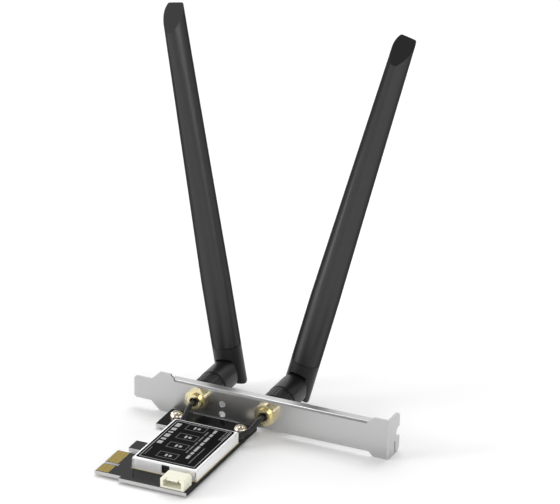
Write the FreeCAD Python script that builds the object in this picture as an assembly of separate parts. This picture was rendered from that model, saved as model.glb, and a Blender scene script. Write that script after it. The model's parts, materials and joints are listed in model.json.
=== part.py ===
import FreeCAD, Part
import math
import os

# Wireless network card with two tilt and swivel antennas, in millimetres.
# X runs along the slot bracket towards its screw tab, Y out of the computer case,
# Z up from the board's component side. The origin is the centre of the bracket's outer face.

V = FreeCAD.Vector

# Slot bracket, a folded steel sheet
bracket_length = 120.02
bracket_sheet = 0.86
ear_width = 18.42
tongue_width = 10.19
tongue_length = 8.2
tongue_taper = 4.2
tongue_corner = 0.9
left_ear_length = 5.1
right_ear_length = 6.3
ear_step_left = 1.6
ear_step_right = 3.8
body_bottom = 2.2          # height of the long lower edge above the ears' lower edge
body_top = 15.9            # height of the long folded edge
flange_depth = 4.3         # from the inner face to the rear edge of the long fold
flange_over = (1.7, 0.8)   # how far the long fold's ends reach past the bend, left and right
fold_radius = 0.3          # inside radius of every fold
tab_depth = 11.43          # screw tab, from the inner face of the bracket to its rear edge
tab_corner = 3.0
tab_chamfer = (1.8, 2.0)   # along the tab's depth, and up from its lower edge
tab_notch_width = 4.42
tab_notch_depth = 3.4
tab_slot_width = 1.3
tab_slot_place = 6.6
tab_slot_height = 6.0
foot_width = 8.0           # feet folded under the board, one for each screw
foot_length = 11.4
light_hole_radius = 1.5
light_hole_place = 42.05   # from the tongue's end
light_hole_heights = (4.63, 9.39)

# Antenna connectors on the bracket
jack_places = {"left": 30.7, "right": 63.45}   # from the tongue's end
jack_height = 10.0         # above the ears' lower edge
jack_thread_radius = 3.175
jack_hole_clearance = 0.12
jack_reach = 11.0          # from the inner face to the outer end of the threaded barrel
jack_hex_width = 9.2
jack_hex_depth = 3.2
jack_boss_radius = 3.3
jack_ring_radius = 2.1       # hollow behind the hexagon, round the lead
jack_ring_floor = 0.15
jack_boss_depth = 1.4
jack_bore_radius = 2.3
jack_bore_depth = 5.0
insulator_radius = 2.05
jack_pin_radius = 0.46
jack_pin_reach = 9.5
washer_thickness = 0.6
washer_radius = 4.6
nut_width = 8.0
nut_thickness = 2.2
thread_clearance = 0.02
part_clearance = 0.3       # between faces that pass each other

# Board
board_thickness = 1.6
board_gap = 0.6            # between the board's rear edge and the bracket
board_left = 18.5          # left edge beside the bracket, from the tongue's end
board_right = 58.9
board_recess = 27.5        # left edge between the tongues
rear_lug_depth = 16.6
guard_lug = (34.9, 42.6)   # start and end of the small lug beside the contacts
contact_edge_tip = 15.1
contact_edge_start = 46.7
long_edge = 11.65
key_width = 1.9
key_depth = 7.1
short_edge = 7.65
tip_bevel = 0.6
contact_pitch = 1.0
contact_width = 0.7
contact_length = 5.6
contact_thickness = 0.04
contact_counts = (11, 7)

# Screws that hold the board on the bracket's feet
screw_places = (24.1, 54.3)
screw_depth = 7.5          # from the bracket's inner face
screw_head_radius = 2.8
screw_head_height = 2.65
screw_shank_radius = 1.45
screw_hole_radius = 1.6
screw_fit = 0.03

# Shield over the radio module
shield_left = 28.3
shield_front = 59.0
shield_width = 30.0
shield_depth = 41.0
shield_height = 5.3
shield_sheet = 0.3
shield_fold = 0.7
shield_seam = 0.35
shield_seam_stop = 1.0
shield_window_left = 13.7  # small opening in the front wall, from the shield's left side
shield_window_width = 3.7
shield_window_bottom = 0.8
shield_window_top = 4.6
lead_notch_width = 3.0
lead_notch_height = 3.2
fence_sheet = 0.25
fence_height = 2.0
ring_outset = 0.35
ring_inset = 0.3           # from the shield's inner face
ring_thickness = 0.05
label_margin = 1.1
label_thickness = 0.12
label_corner = 0.8

# Radio module, its socket and what holds it
module_width = 22.0
module_length = 30.0
module_thickness = 0.8
module_lift = 2.25         # underside above the board
module_engage = 4.0
module_key_width = 1.2
module_key_place = 4.4     # from the module's left side
socket_width = 22.6
socket_depth = 8.4
socket_height = 4.1
socket_gap = 0.6           # between the socket and the shield's front wall
socket_wall = 0.35
socket_contact_count = 20
standoff_radius = 2.6
standoff_screw_radius = 1.0
module_screw_radius = 2.1
module_screw_height = 0.5
module_shield_width = 20.4
module_shield_length = 16.0
module_shield_height = 1.3
module_shield_sheet = 0.2
module_shield_place = 6.5  # from the module's socket end
pad_margin = 2.0
receptacle_offset = 7.0    # either side of the module's middle
receptacle_place = 3.2     # from the module's free end
receptacle_size = 2.0
receptacle_height = 0.35
plug_radius = 1.15
plug_height = 1.75         # above the module
plug_post_radius = 0.4
plug_post_height = 0.8
lead_lift = 1.05           # the lead's middle above the module, at its plug
crimp_wall = 0.12
chip_size = 4.0
chip_height = 0.9
coil_size = 3.0
coil_height = 1.6
capacitor_size = (1.0, 0.5, 0.5)
capacitor_count = 7

# Cable header at the board's front edge
header_pins = 4
header_pitch = 2.0
header_width = 10.9
header_depth = 7.6
header_height = 4.8
header_left = 46.6
header_setback = 0.5       # from the board's front edge
header_gap = 2.9           # between the shield and the header
header_wall = 1.25
header_floor = 0.9
header_roof = 1.0
header_cavity = 5.9
header_pin_size = 0.5
header_pin_reach = 3.6
header_key_width = 0.8
header_key_depth = 0.9
pin_hole_radius = 0.45

# Coaxial leads between the jacks and the module
lead_radius = 0.565
sleeve_radius = 1.1
lead_bend = 2.6
lead_hole_clearance = 0.05

# Antennas, identical apart from how they are set
antenna_pivot = 32.4       # from the bracket's inner face to the tilt axis
antenna_lean = {"left": -10.35, "right": 13.6}   # degrees about the connector axis
antenna_tilt_back = {"left": 0.0, "right": 5.0}   # degrees back from square
collar_start = 4.62
collar_end = 13.5
collar_radius = 6.35
collar_flutes = 28
flute_radius = 0.38
collar_chamfer = 0.5
coupling_radius = 4.1
coupling_clearance = 0.05
coupling_end = 13.1
coupling_lip = 1.5
ferrule_radius = 2.65
ferrule_flange_radius = 3.0
ferrule_flange_depth = 0.5
ferrule_end = 20.5
contact_radius = 1.0
contact_bore = 0.52
barrel_radius = 6.5
barrel_neck_radius = 3.8
barrel_neck_start = 13.4
barrel_start = 13.75
barrel_chamfer = 0.35
barrel_hollow_radius = 4.0   # room for the cable behind the ferrule
barrel_hollow_cover = 5.5    # plastic from the hollow to the tilt axis
wire_radius = 0.7
tongue_half = 3.6          # half the thickness of the barrel's hinge tongue
hinge_gap = 0.3
fork_gap = 0.55            # round the barrel's ball end
hinge_pin_radius = 1.0
hinge_pin_clearance = 0.05
hinge_pin_cover = 0.9      # plastic left over each end of the pin
blade_radius = 6.4
knuckle_top = 11.4
seam_groove = 0.25         # chamfer on each side of the seam under the blade
knuckle_back_open = 2.2
spigot_length = 3.0
spigot_clearance = 0.03
round_length = 42.0        # the blade is round up to here, measured from the tilt axis
blade_length = 166.5
blade_top_depth = 10.2
blade_top_half = 4.5
blade_ridge_half = 1.2
blade_wall = 0.75
strip_width = 5.2          # printed aerial inside the hollow blade
strip_thickness = 0.8
strip_seat = 2.0           # how deep the strip sits in the spigot
strip_end = 96.0
trace_thickness = 0.04
trace_width = 3.0
trace_spans = ((34.0, 62.0), (63.2, 92.0))

# Heights and places worked out from the values above
floor_z = -ear_width / 2
inner_y = -bracket_sheet
board_z = floor_z + bracket_sheet
board_top = board_z + board_thickness
shield_top = board_top + shield_height
jack_z = floor_z + jack_height
module_z = board_top + module_lift
module_top = module_z + module_thickness
board_depth = shield_front + header_gap + header_depth + header_setback


def along(distance):
    """X of a point at this distance from the end of the bracket's tongue."""
    return distance - bracket_length / 2


def out(distance):
    """Y of a point this far out of the case from the bracket's inner face."""
    return inner_y + distance


def box(x0, y0, z0, x1, y1, z1):
    low = V(min(x0, x1), min(y0, y1), min(z0, z1))
    size = V(abs(x1 - x0), abs(y1 - y0), abs(z1 - z0))
    return Part.makeBox(size.x, size.y, size.z, low)


def rod(start, end, radius):
    start, end = V(*start), V(*end)
    return Part.makeCylinder(radius, (end - start).Length, start, end - start)


def tube(start, end, radius, bore):
    return rod(start, end, radius).cut(rod(start, end, bore))


def prism(points, direction):
    """A flat outline of straight edges, extruded."""
    corners = [V(*p) for p in points]
    wire = Part.makePolygon(corners + corners[:1])
    return Part.Face(wire).extrude(V(*direction))


def hexagon(start, end, width):
    """A hexagonal bar along Y, with a corner at the top."""
    x, y, z = start
    reach = width / math.sqrt(3)
    points = []
    for step in range(6):
        angle = math.radians(60 * step + 90)
        points.append((x + reach * math.cos(angle), y, z + reach * math.sin(angle)))
    return prism(points, (0, end[1] - y, 0))


def vertical_edges(shape):
    found = []
    for edge in shape.Edges:
        first, last = edge.Vertexes[0].Point, edge.Vertexes[-1].Point
        if abs(first.x - last.x) < 1e-6 and abs(first.y - last.y) < 1e-6:
            found.append(edge)
    return found


def fuse_all(shapes):
    whole = shapes[0].fuse(shapes[1:]) if len(shapes) > 1 else shapes[0]
    return whole.removeSplitter()


def cut_all(shape, tools):
    return shape.cut(Part.makeCompound(tools)) if tools else shape


def quarter_fold(x0, x1, y_axis, z_axis, inner, sheet, start_angle):
    """A quarter of a folded sheet whose fold line runs along X."""
    outer_bar = rod((x0, y_axis, z_axis), (x1, y_axis, z_axis), inner + sheet)
    inner_bar = rod((x0, y_axis, z_axis), (x1, y_axis, z_axis), inner)
    reach = inner + sheet
    side_y = reach if start_angle in (0, 270) else -reach
    side_z = reach if start_angle in (0, 90) else -reach
    quarter = box(x0, y_axis, z_axis, x1, y_axis + side_y, z_axis + side_z)
    return outer_bar.cut(inner_bar).common(quarter)


def s_edge(start, end, first_vertical):
    """Two equal arcs that join two places on an outline in the XZ plane."""
    (x0, z0), (x1, z1) = start, end
    middle = ((x0 + x1) / 2, (z0 + z1) / 2)
    edges = []
    for (ax, az), (bx, bz), vertical in (
        (start, middle, first_vertical), (middle, end, not first_vertical)
    ):
        dx, dz = bx - ax, bz - az
        chord = math.hypot(dx, dz)
        lift = chord * 0.13
        sign = 1 if vertical else -1
        nx, nz = -dz / chord * sign, dx / chord * sign
        if (nz * dz < 0) == vertical and dx * dz != 0:
            nx, nz = -nx, -nz
        edges.append(Part.Arc(
            V(ax, 0, az), V((ax + bx) / 2 + nx * lift, 0, (az + bz) / 2 + nz * lift), V(bx, 0, bz)
        ).toShape())
    return edges


def line(a, b):
    return Part.LineSegment(V(a[0], 0, a[1]), V(b[0], 0, b[1])).toShape()


def make_bracket():
    """One folded sheet: tongue, two ears, long fold, screw tab and two feet."""
    low, high = floor_z, floor_z + ear_width
    middle = floor_z + ear_width / 2
    body_low, body_high = floor_z + body_bottom, floor_z + body_top
    tongue_low, tongue_high = middle - tongue_width / 2, middle + tongue_width / 2
    left = along(0)
    ear_start = along(tongue_length + tongue_taper)
    ear_end = ear_start + left_ear_length
    body_start = ear_end + ear_step_left
    right_ear = along(bracket_length - right_ear_length)
    body_end = right_ear - ear_step_right
    bend = fold_radius + bracket_sheet
    plate_end = along(bracket_length) - bend
    c = tongue_corner

    edges = [line((left, tongue_low + c), (left, tongue_high - c))]
    edges.append(line((left, tongue_high - c), (left + c, tongue_high)))
    edges.append(line((left + c, tongue_high), (along(tongue_length), tongue_high)))
    edges.append(line((along(tongue_length), tongue_high), (ear_start, high)))
    edges.append(line((ear_start, high), (ear_end, high)))
    edges += s_edge((ear_end, high), (body_start, body_high), True)
    edges.append(line((body_start, body_high), (body_end, body_high)))
    edges += s_edge((body_end, body_high), (right_ear, high), False)
    edges.append(line((right_ear, high), (plate_end, high)))
    edges.append(line((plate_end, high), (plate_end, low)))
    edges.append(line((plate_end, low), (right_ear, low)))
    edges += s_edge((right_ear, low), (body_end, body_low), False)
    edges.append(line((body_end, body_low), (body_start, body_low)))
    edges += s_edge((body_start, body_low), (ear_end, low), True)
    edges.append(line((ear_end, low), (ear_start, low)))
    edges.append(line((ear_start, low), (along(tongue_length), tongue_low)))
    edges.append(line((along(tongue_length), tongue_low), (left + c, tongue_low)))
    edges.append(line((left + c, tongue_low), (left, tongue_low + c)))
    outline = Part.Wire(edges)
    plate = Part.Face(outline).extrude(V(0, -bracket_sheet, 0))

    # the long edge is folded outwards, away from the board
    fold_z = body_high - bend
    plate = plate.cut(box(body_start, -bracket_sheet, fold_z, body_end, 0, body_high + 1))
    fold = quarter_fold(body_start, body_end, fold_radius, fold_z, fold_radius, bracket_sheet, 90)
    flange = box(body_start - flange_over[0], fold_radius, body_high - bracket_sheet,
                 body_end + flange_over[1], out(flange_depth), body_high)
    pieces = [plate, fold, flange]

    # screw tab, folded outwards at the right end
    tab_x = along(bracket_length) - bracket_sheet
    ring = Part.makeCylinder(bend, ear_width, V(plate_end, fold_radius, low))
    ring = ring.cut(Part.makeCylinder(fold_radius, ear_width, V(plate_end, fold_radius, low)))
    corner = box(plate_end, fold_radius - bend, low, plate_end + bend, fold_radius, high)
    tab_end = out(tab_depth)
    tab = box(tab_x, fold_radius, low, tab_x + bracket_sheet, tab_end, high)
    tab = round_tab(tab, tab_x, tab_end, low, high, middle)
    pieces += [ring.common(corner), tab]

    # feet under the board, folded inwards
    for place in screw_places:
        pieces += make_foot(along(place), body_low)
    bracket = fuse_all(pieces)

    holes = []
    for place in jack_places.values():
        radius = jack_thread_radius + jack_hole_clearance
        holes.append(rod((along(place), -2, jack_z), (along(place), 2, jack_z), radius))
    for height in light_hole_heights:
        at = (along(light_hole_place), -2, floor_z + height)
        holes.append(rod(at, (at[0], 2, at[2]), light_hole_radius))
    for place in screw_places:
        at = (along(place), out(-screw_depth), low - 1)
        holes.append(rod(at, (at[0], at[1], board_z + 0.5), screw_shank_radius + screw_fit))
    return cut_all(bracket, holes)


def round_tab(tab, tab_x, tab_end, low, high, middle):
    """Cuts the corner round, the chamfer, the screw notch and the narrow slot."""
    x0, x1 = tab_x - 1, tab_x + bracket_sheet + 1
    r = tab_corner
    square = box(x0, tab_end - r, high - r, x1, tab_end + 1, high + 1)
    keep = rod((x0, tab_end - r, high - r), (x1, tab_end - r, high - r), r)
    c, rise = tab_chamfer
    wedge = prism([(x0, tab_end - c, low), (x0, tab_end + 1, low - 1), (x0, tab_end, low + rise)],
                  (x1 - x0, 0, 0))
    half = tab_notch_width / 2
    notch_y = tab_end - tab_notch_depth + half
    notch = box(x0, notch_y, middle - half, x1, tab_end + 1, middle + half)
    notch_end = rod((x0, notch_y, middle), (x1, notch_y, middle), half)
    s = tab_slot_width / 2
    slot_y, slot_z = out(tab_slot_place), low + tab_slot_height - s
    slot = box(x0, slot_y - s, low - 1, x1, slot_y + s, slot_z)
    slot_end = rod((x0, slot_y, slot_z), (x1, slot_y, slot_z), s)
    return cut_all(tab, [square.cut(keep), wedge, notch, notch_end, slot, slot_end])


def make_foot(x, body_low):
    half = foot_width / 2
    bend = fold_radius + bracket_sheet
    neck = box(x - half, inner_y, floor_z + bend, x + half, 0, body_low + 0.5)
    fold = quarter_fold(x - half, x + half, inner_y - fold_radius, floor_z + bend,
                        fold_radius, bracket_sheet, 270)
    end = out(-foot_length)
    flat = box(x - half, end + half, floor_z, x + half, inner_y - fold_radius, board_z)
    tip = rod((x, end + half, floor_z), (x, end + half, board_z), half)
    return [neck, fold, flat, tip]


def make_board():
    """The printed circuit board with its contact edge, key slot, lugs and holes."""
    rear = out(-board_gap)
    a0 = out(-contact_edge_start)
    a1 = a0 - long_edge
    b0 = a1 - key_width
    b1 = b0 - short_edge
    tip = along(contact_edge_tip)
    recess = along(board_recess)
    key = tip + key_depth
    left = along(board_left)
    outline = [
        (left, rear), (along(board_right), rear),
        (along(board_right), out(-board_depth)), (recess, out(-board_depth)),
        (recess, b1), (tip, b1), (tip, b0), (key, b0), (key, a1), (tip, a1), (tip, a0),
        (recess, a0), (recess, out(-guard_lug[1])), (left, out(-guard_lug[1])),
        (left, out(-guard_lug[0])), (recess, out(-guard_lug[0])),
        (recess, out(-rear_lug_depth)), (left, out(-rear_lug_depth)),
    ]
    board = prism([(x, y, board_z) for x, y in outline], (0, 0, board_thickness))
    third = board_thickness / 4
    nose = [
        (tip, board_z + third), (tip + tip_bevel, board_z), (along(board_right) + 1, board_z),
        (along(board_right) + 1, board_top), (tip + tip_bevel, board_top),
        (tip, board_top - third),
    ]
    width = board_depth + 2
    board = board.common(prism([(x, out(-width), z) for x, z in nose], (0, width + 1, 0)))
    holes = []
    for place in screw_places:
        at = (along(place), out(-screw_depth))
        holes.append(rod((*at, board_z - 1), (*at, board_top + 1), screw_hole_radius))
    for x, y in header_pin_holes():
        holes.append(rod((x, y, board_z - 1), (x, y, board_top + 1), pin_hole_radius))
    return cut_all(board, holes)


def make_contacts():
    """Gold contacts on both faces of the board's edge."""
    tip = along(contact_edge_tip) + tip_bevel
    plates = []
    start = out(-contact_edge_start)
    for count, width in zip(contact_counts, (long_edge, short_edge)):
        middle = start - width / 2
        for index in range(count):
            y = middle + (index - (count - 1) / 2) * contact_pitch
            for z0 in (board_top, board_z - contact_thickness):
                plates.append(box(tip, y - contact_width / 2, z0, tip + contact_length,
                                  y + contact_width / 2, z0 + contact_thickness))
        start -= width + key_width
    return Part.makeCompound(plates)


def make_board_screws():
    """Two pan head screws with cross recesses."""
    screws = []
    for place in screw_places:
        x, y = along(place), out(-screw_depth)
        shank = rod((x, y, floor_z), (x, y, board_top), screw_shank_radius)
        head = pan_head(x, y, board_top, screw_head_radius, screw_head_height)
        screws.append(shank.fuse(head).removeSplitter())
    return Part.makeCompound(screws)


def pan_head(x, y, z, radius, height):
    """A domed head on the plane at this height, with a cross recess."""
    side = height * 0.45
    profile = [
        Part.LineSegment(V(0, 0, 0), V(radius, 0, 0)),
        Part.LineSegment(V(radius, 0, 0), V(radius, 0, side)),
        Part.Arc(V(radius, 0, side), V(radius * 0.72, 0, height * 0.9), V(0, 0, height)),
        Part.LineSegment(V(0, 0, height), V(0, 0, 0)),
    ]
    wire = Part.Wire([curve.toShape() for curve in profile])
    head = Part.Face(wire).revolve(V(0, 0, 0), V(0, 0, 1), 360)
    arm, half, depth = radius * 0.72, radius * 0.16, height * 0.7
    for turn in (0, 90):
        blade = prism([(-arm, -half, height + 0.1), (arm, -half, height + 0.1),
                       (arm * 0.35, -half, height - depth), (-arm * 0.35, -half, height - depth)],
                      (0, 2 * half, 0))
        blade.rotate(V(0, 0, 0), V(0, 0, 1), turn + 35)
        head = head.cut(blade)
    head.translate(V(x, y, z))
    return head


def shield_box():
    """Outside corners of the shield, seen from above."""
    x0 = along(shield_left)
    y0 = out(-shield_front)
    return x0, y0, x0 + shield_width, y0 + shield_depth


def lead_entries():
    """X of the two leads where they pass the shield's rear wall."""
    wall = shield_box()[3] - shield_sheet / 2
    crossings = []
    for route in lead_routes().values():
        for (x0, y0, _), (x1, y1, _) in zip(route, route[1:]):
            if y0 > wall >= y1:
                crossings.append(x0 + (x1 - x0) * (y0 - wall) / (y0 - y1))
    return crossings


def make_shield():
    """A folded can with open corner seams, a window and two lead notches."""
    x0, y0, x1, y1 = shield_box()
    t = shield_sheet
    outside = box(x0, y0, board_top + ring_thickness, x1, y1, shield_top)
    top_edges = [e for e in outside.Edges if min(v.Point.z for v in e.Vertexes) > shield_top - 1e-6]
    outside = outside.makeFillet(shield_fold, top_edges)
    inside = box(x0 + t, y0 + t, board_top - 1, x1 - t, y1 - t, shield_top - t)
    top_edges = [e for e in inside.Edges
                 if min(v.Point.z for v in e.Vertexes) > shield_top - t - 1e-6]
    inside = inside.makeFillet(shield_fold - t, top_edges)
    can = outside.cut(inside)
    cuts = []
    seam_top = shield_top - shield_seam_stop
    for x in (x0, x1):
        inward = 1 if x == x0 else -1
        for y in (y0, y1):
            cuts.append(box(x + inward * t, y - 1, board_top - 1,
                            x + inward * (t + shield_seam), y + 1, seam_top))
    window = x0 + shield_window_left
    cuts.append(box(window, y0 - 1, board_top + shield_window_bottom,
                    window + shield_window_width, y0 + 1, board_top + shield_window_top))
    half = lead_notch_width / 2
    for x in lead_entries():
        cuts.append(box(x - half, y1 - 1, board_top - 1, x + half, y1 + 1,
                        board_top + lead_notch_height))
    return cut_all(can, cuts)


def make_fence():
    """The low frame soldered to the board inside the shield's walls."""
    x0, y0, x1, y1 = shield_box()
    a, b = shield_sheet, shield_sheet + fence_sheet
    z0, z1 = board_top + ring_thickness, board_top + fence_height
    frame = box(x0 + a, y0 + a, z0, x1 - a, y1 - a, z1)
    frame = frame.cut(box(x0 + b, y0 + b, z0 - 1, x1 - b, y1 - b, z1 + 1))
    half = lead_notch_width / 2
    gaps = [box(x - half, y1 - 1, z0 - 1, x + half, y1, z1 + 1) for x in lead_entries()]
    window = x0 + shield_window_left
    gaps.append(box(window, y0, z0 - 1, window + shield_window_width, y0 + 1, z1 + 1))
    return cut_all(frame, gaps)


def make_ring():
    """The solder land round the shield."""
    x0, y0, x1, y1 = shield_box()
    a, b = ring_outset, ring_inset + shield_sheet
    ring = box(x0 - a, y0 - a, board_top, x1 + a, y1 + a, board_top + ring_thickness)
    return ring.cut(box(x0 + b, y0 + b, board_top - 1, x1 - b, y1 - b, board_top + 1))


def make_label():
    x0, y0, x1, y1 = shield_box()
    m = label_margin
    plate = box(x0 + m, y0 + m, shield_top, x1 - m, y1 - m, shield_top + label_thickness)
    return plate.makeFillet(label_corner, vertical_edges(plate))


def module_place():
    """Middle X, socket end Y and free end Y of the radio module."""
    x0, y0, x1, _ = shield_box()
    socket_front = y0 + shield_sheet + fence_sheet + socket_gap
    start = socket_front + socket_depth - module_engage
    return (x0 + x1) / 2, start, start + module_length


def make_socket():
    """The edge socket that holds the module level above the board."""
    middle, start, _ = module_place()
    half = socket_width / 2
    front = start + module_engage - socket_depth
    body = box(middle - half, front, board_top, middle + half, front + socket_depth,
               board_top + socket_height)
    gap = socket_wall
    mouth = box(middle - module_width / 2 - thread_clearance, start, module_z,
                middle + module_width / 2 + thread_clearance, start + module_engage + 1,
                module_top)
    lead_in = prism([(middle - half - 1, start + module_engage - 1.0, module_top),
                     (middle - half - 1, start + module_engage + 0.1, module_top),
                     (middle - half - 1, start + module_engage + 0.1, module_top + 0.6)],
                    (socket_width + 2, 0, 0))
    body = body.cut(mouth).cut(lead_in)
    key_x = middle - module_width / 2 + module_key_place
    rib = box(key_x + gap / 2, start, module_z - gap, key_x + module_key_width - gap / 2,
              start + module_engage, module_top + gap)
    return body.fuse(rib).removeSplitter()


def make_socket_contacts():
    """Solder tails of the socket's contacts, in front of its body."""
    middle, start, _ = module_place()
    front = start + module_engage - socket_depth
    pitch = (socket_width - 2.5) / (socket_contact_count - 1)
    tails = []
    for index in range(socket_contact_count):
        x = middle - (socket_width - 2.5) / 2 + index * pitch
        tails.append(box(x - 0.15, front - 0.45, board_top, x + 0.15, front, board_top + 0.25))
    return Part.makeCompound(tails)


def make_module_board():
    middle, start, end = module_place()
    half = module_width / 2
    board = box(middle - half, start, module_z, middle + half, end, module_top)
    key_x = middle - half + module_key_place
    key = box(key_x, start - 1, module_z - 1, key_x + module_key_width, start + module_engage,
              module_top + 1)
    notch = rod((middle, end, module_z - 1), (middle, end, module_top + 1),
                standoff_screw_radius + part_clearance)
    return cut_all(board, [key, notch])


def make_module_shield():
    middle, start, _ = module_place()
    half = module_shield_width / 2
    y0 = start + module_shield_place
    y1 = y0 + module_shield_length
    t = module_shield_sheet
    can = box(middle - half, y0, module_top, middle + half, y1, module_top + module_shield_height)
    hollow = box(middle - half + t, y0 + t, module_top - 1, middle + half - t, y1 - t,
                 module_top + module_shield_height - t)
    return can.cut(hollow)


def make_thermal_pad():
    """Fills the space between the module's shield and the outer shield."""
    middle, start, _ = module_place()
    half = module_shield_width / 2 - pad_margin
    y0 = start + module_shield_place + pad_margin
    y1 = start + module_shield_place + module_shield_length - pad_margin
    return box(middle - half, y0, module_top + module_shield_height, middle + half, y1,
               shield_top - shield_sheet)


def make_standoff():
    """A threaded post soldered to the board under the module's free end."""
    middle, _, end = module_place()
    post = rod((middle, end, board_top), (middle, end, module_z), standoff_radius)
    neck = rod((middle, end, module_z), (middle, end, module_top), standoff_screw_radius
               + part_clearance - thread_clearance)
    bore = rod((middle, end, board_top + 0.4), (middle, end, module_top + 1),
               standoff_screw_radius)
    return post.fuse(neck).cut(bore)


def make_module_screw():
    middle, _, end = module_place()
    shank = rod((middle, end, board_top + 0.5), (middle, end, module_top), standoff_screw_radius)
    head = pan_head(middle, end, module_top, module_screw_radius, module_screw_height)
    return shank.fuse(head).removeSplitter()


def receptacle_points():
    middle, _, end = module_place()
    y = end - receptacle_place
    return {"left": (middle - receptacle_offset, y), "right": (middle + receptacle_offset, y)}


def make_receptacles():
    blocks = []
    half = receptacle_size / 2
    for x, y in receptacle_points().values():
        base = box(x - half, y - half, module_top, x + half, y + half,
                   module_top + receptacle_height)
        post = rod((x, y, module_top), (x, y, module_top + plug_post_height), plug_post_radius)
        blocks.append(base.fuse(post).removeSplitter())
    return Part.makeCompound(blocks)


def make_lead_plugs():
    """Round press-on plugs at the module ends of the two leads."""
    plugs = []
    z0 = module_top + receptacle_height
    for side, (x, y) in receptacle_points().items():
        cap = rod((x, y, z0), (x, y, module_top + plug_height), plug_radius)
        post = rod((x, y, z0 - 0.1), (x, y, module_top + plug_post_height), plug_post_radius)
        before, last = lead_routes()[side][-2:]
        way = (V(*before) - V(*last)).normalize()
        start = V(*last)
        crimp = Part.makeCylinder(lead_radius + crimp_wall, plug_radius + 1.3, start, way)
        bore = Part.makeCylinder(lead_radius, plug_radius + 2.3, start + way * plug_radius * 0.6,
                                 way)
        plugs.append(cap.fuse(crimp).cut(bore).cut(post).removeSplitter())
    return Part.makeCompound(plugs)


def make_small_parts():
    """Capacitors, a supply coil and a regulator under the raised module."""
    middle, start, end = module_place()
    length, width, height = capacitor_size
    row_y = end - 6.5
    capacitors = []
    for index in range(capacitor_count):
        x = middle + (index - (capacitor_count - 1) / 2) * 2.4
        capacitors.append(box(x - width / 2, row_y, board_top, x + width / 2, row_y + length,
                              board_top + height))
    coil_y = start + 12.0
    coil = box(middle + 3, coil_y, board_top, middle + 3 + coil_size, coil_y + coil_size,
               board_top + coil_height)
    chip = box(middle - 6, coil_y, board_top, middle - 6 + chip_size, coil_y + chip_size,
               board_top + chip_height)
    return Part.makeCompound(capacitors), coil.makeChamfer(0.4, vertical_edges(coil)), chip


def header_place():
    x0 = along(header_left)
    y0 = out(-board_depth) + header_setback
    return x0, y0


def header_pin_holes():
    x0, y0 = header_place()
    first = x0 + (header_width - (header_pins - 1) * header_pitch) / 2
    y = y0 + header_depth - 0.9
    return [(first + index * header_pitch, y) for index in range(header_pins)]


def make_header():
    """The side entry housing, open to the front, with keying slots."""
    x0, y0 = header_place()
    x1, y1 = x0 + header_width, y0 + header_depth
    z0, z1 = board_top, board_top + header_height
    body = box(x0, y0, z0, x1, y1, z1)
    body = body.makeChamfer(0.6, [e for e in body.Edges if is_top_side(e, x0, x1, z1)])
    cavity = box(x0 + header_wall, y0 - 1, z0 + header_floor, x1 - header_wall,
                 y0 + header_cavity, z1 - header_roof)
    cuts = [cavity]
    for x in (x0 + header_wall + 0.9, x1 - header_wall - 0.9 - header_key_width):
        cuts.append(box(x, y0 - 1, z1 - header_roof - 0.1, x + header_key_width,
                        y0 + header_key_depth, z1 + 1))
    for x, side in ((x0, -1), (x1, 1)):
        cuts.append(box(x - side * 0.35, y0 + 2.0, z0 + 1.4, x + side, y0 + 4.6, z1 - 1.3))
    for x, y in header_pin_holes():
        h = header_pin_size / 2
        axis = z0 + header_floor + 1.2
        cuts.append(box(x - h, y0 + header_cavity - 0.1, axis - h, x + h, y1 + 1, axis + h))
        cuts.append(box(x - h, y - h, z0 - 1, x + h, y1 + 1, axis + h))
    return cut_all(body, cuts)


def is_top_side(edge, x0, x1, z1):
    points = [v.Point for v in edge.Vertexes]
    on_top = all(abs(p.z - z1) < 1e-6 for p in points)
    return on_top and all(min(abs(p.x - x0), abs(p.x - x1)) < 1e-6 for p in points) and (
        abs(points[0].x - points[-1].x) < 1e-6)


def make_header_pins():
    """Square pins that lie in the housing and turn down through the board."""
    _, y0 = header_place()
    pins = []
    h = header_pin_size / 2
    axis = board_top + header_floor + 1.2
    for x, y in header_pin_holes():
        level = box(x - h, y0 + header_cavity - header_pin_reach, axis - h, x + h, y + h, axis + h)
        upright = box(x - h, y - h, floor_z, x + h, y + h, axis + h)
        pins.append(level.fuse(upright).removeSplitter())
    return Part.makeCompound(pins)


def make_jack(place):
    """The threaded connector body with its hexagon against the bracket's inner face."""
    x, z = along(place), jack_z
    back = out(-jack_hex_depth)
    rear = back - jack_boss_depth
    end = out(jack_reach)
    body = hexagon((x, back, z), (x, inner_y, z), jack_hex_width)
    bevel = rod((x, back, z), (x, inner_y, z), jack_hex_width / 2 + 0.35)
    body = body.common(bevel)
    body = body.fuse(rod((x, inner_y, z), (x, end, z), jack_thread_radius))
    body = body.fuse(rod((x, rear, z), (x, back, z), jack_boss_radius)).removeSplitter()
    lip = [e for e in body.Edges if all(abs(v.Point.y - end) < 1e-6 for v in e.Vertexes)]
    body = body.makeChamfer(0.35, lip)
    step = end - jack_bore_depth
    bores = [
        rod((x, step, z), (x, end + 1, z), jack_bore_radius),
        rod((x, back, z), (x, step, z), insulator_radius),
        rod((x, rear - 1, z), (x, back, z), sleeve_radius + lead_hole_clearance),
        rod((x, rear - 1, z), (x, back - jack_ring_floor, z), jack_ring_radius),
    ]
    return cut_all(body, bores)


def make_jack_insides(place):
    """Insulator and centre pin."""
    x, z = along(place), jack_z
    back, step = out(-jack_hex_depth), out(jack_reach) - jack_bore_depth
    insulator = tube((x, back, z), (x, step, z), insulator_radius, jack_pin_radius)
    pin = rod((x, back, z), (x, out(jack_pin_reach), z), jack_pin_radius)
    tip = [e for e in pin.Edges
           if all(abs(v.Point.y - out(jack_pin_reach)) < 1e-6 for v in e.Vertexes)]
    return insulator, pin.makeFillet(jack_pin_radius * 0.6, tip)


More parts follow.
